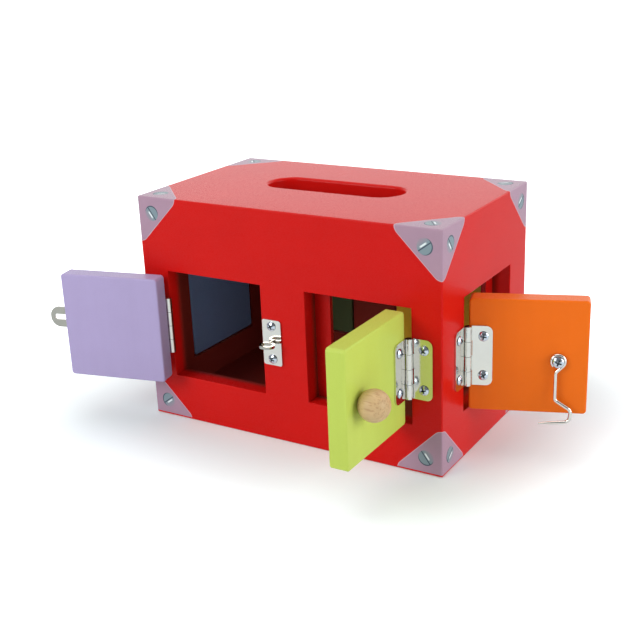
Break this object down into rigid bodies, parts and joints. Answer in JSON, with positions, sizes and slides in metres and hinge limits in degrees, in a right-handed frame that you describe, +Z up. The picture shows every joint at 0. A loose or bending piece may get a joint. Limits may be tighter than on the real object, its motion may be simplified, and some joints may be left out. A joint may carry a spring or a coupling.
{
  "type": "lock box",
  "caption": "Painted wooden lock box for a child: hinged doors in every side, each with its own kind of lock, and a rounded slot in the top.",
  "frame": {"origin": "middle of the base, on the surface it stands on", "axes": "+X along the long front to the right, +Y to the back, +Z up"},
  "size_m": [0.3892, 0.2324, 0.1695],
  "materials": {
    "red_paint": "gloss paint",
    "purple_paint": "gloss paint",
    "green_paint": "gloss paint",
    "orange_paint": "gloss paint",
    "blue_paint": "gloss paint",
    "yellow_paint": "gloss paint",
    "teal_paint": "gloss paint",
    "beech": "clear varnish",
    "nickel": "polished nickel plate",
    "zinc": "zinc plate"
  },
  "bodies": {
    "case": {"top_board": "red_paint", "bottom_board": "red_paint", "front_board": "red_paint", "back_board": "red_paint", "left_board": "red_paint", "right_board": "red_paint", "green_door_stop": "red_paint", "orange_door_stop": "red_paint", "purple_wall_leaf": "nickel", "green_wall_leaf": "nickel", "orange_wall_leaf": "nickel", "blue_wall_leaf": "nickel", "yellow_wall_leaf": "nickel", "teal_wall_leaf": "nickel", "hinge_pins": "nickel", "wall_leaf_screws": "zinc", "staple_plate": "nickel", "staple_plate_screws": "zinc", "hook_eye": "nickel", "bolt_keeper": "nickel", "bolt_keeper_screws": "zinc", "turn_button_screw": "zinc", "bar_cradle": "nickel", "bar_cradle_screw": "zinc"},
    "purple_door": {"purple_door_panel": "purple_paint", "purple_door_leaf": "nickel", "purple_leaf_screws": "zinc", "hasp_leaf": "nickel", "hasp_leaf_screws": "zinc", "hasp_pin": "nickel"},
    "green_door": {"green_door_panel": "green_paint", "green_door_leaf": "nickel", "green_leaf_screws": "zinc"},
    "orange_door": {"orange_door_panel": "orange_paint", "orange_door_leaf": "nickel", "orange_leaf_screws": "zinc", "hook_screw": "zinc"},
    "blue_door": {"blue_door_panel": "blue_paint", "blue_door_leaf": "nickel", "blue_leaf_screws": "zinc", "bolt_housing": "nickel", "bolt_housing_screws": "zinc"},
    "yellow_door": {"yellow_door_panel": "yellow_paint", "yellow_door_leaf": "nickel", "yellow_leaf_screws": "zinc"},
    "teal_door": {"teal_door_panel": "teal_paint", "teal_door_leaf": "nickel", "teal_leaf_screws": "zinc", "swing_bar_screw": "zinc"},
    "hasp": {"hasp_strap": "nickel"},
    "staple": {"swivel_staple": "nickel"},
    "knob": {"door_knob": "beech", "knob_spindle": "nickel", "knob_latch_bar": "nickel"},
    "hook": {"wire_hook": "nickel"},
    "bolt": {"slide_bolt": "nickel"},
    "button": {"turn_button": "beech"},
    "bar": {"swing_bar": "nickel"}
  },
  "joints": [
    {"name": "purple_hinge", "type": "hinge", "parent": "case", "child": "purple_door", "pos_m": [-0.0976, -0.07435, 0.075], "axis": [0, 0, -1], "range_deg": [-167, 5]},
    {"name": "green_hinge", "type": "hinge", "parent": "case", "child": "green_door", "pos_m": [0.0976, -0.07435, 0.075], "axis": [0, 0, 1], "range_deg": [-90, 82]},
    {"name": "orange_hinge", "type": "hinge", "parent": "case", "child": "orange_door", "pos_m": [0.1226, -0.0376, 0.075], "axis": [0, 0, 1], "range_deg": [-101.5, 70.5]},
    {"name": "blue_hinge", "type": "hinge", "parent": "case", "child": "blue_door", "pos_m": [-0.1226, 0.0416, 0.075], "axis": [0, 0, 1], "range_deg": [-172, 0]},
    {"name": "yellow_hinge", "type": "hinge", "parent": "case", "child": "yellow_door", "pos_m": [0.0976, 0.07435, 0.075], "axis": [0, 0, -1], "range_deg": [0, 172]},
    {"name": "teal_hinge", "type": "hinge", "parent": "case", "child": "teal_door", "pos_m": [-0.0976, 0.07435, 0.075], "axis": [0, 0, 1], "range_deg": [0, 172]},
    {"name": "hasp_fold", "type": "hinge", "parent": "purple_door", "child": "hasp", "pos_m": [-0.16455, -0.09022, 0.075], "axis": [0, 0, -1], "range_deg": [0, 120]},
    {"name": "staple_turn", "type": "hinge", "parent": "case", "child": "staple", "pos_m": [-0.0092, -0.07175, 0.075], "axis": [0, -1, 0], "range_deg": [-90, 0]},
    {"name": "knob_turn", "type": "hinge", "parent": "green_door", "child": "knob", "pos_m": [0.095, -0.13475, 0.075], "axis": [1, 0, 0], "range_deg": [-90, 0]},
    {"name": "hook_swing", "type": "hinge", "parent": "orange_door", "child": "hook", "pos_m": [0.17697, -0.01559, 0.0731], "axis": [0.3338, -0.9426, 0], "range_deg": [-270, 45]},
    {"name": "bolt_slide", "type": "slide", "parent": "blue_door", "child": "bolt", "axis": [0, 1, 0], "range_m": [-0.01, 0]},
    {"name": "button_turn", "type": "hinge", "parent": "case", "child": "button", "pos_m": [0.009, 0.07175, 0.093], "axis": [0, 1, 0], "range_deg": [-90, 0]},
    {"name": "bar_swing", "type": "hinge", "parent": "teal_door", "child": "bar", "pos_m": [-0.0396, 0.07175, 0.063], "axis": [0, -1, 0], "range_deg": [-90, 0]}
  ]
}
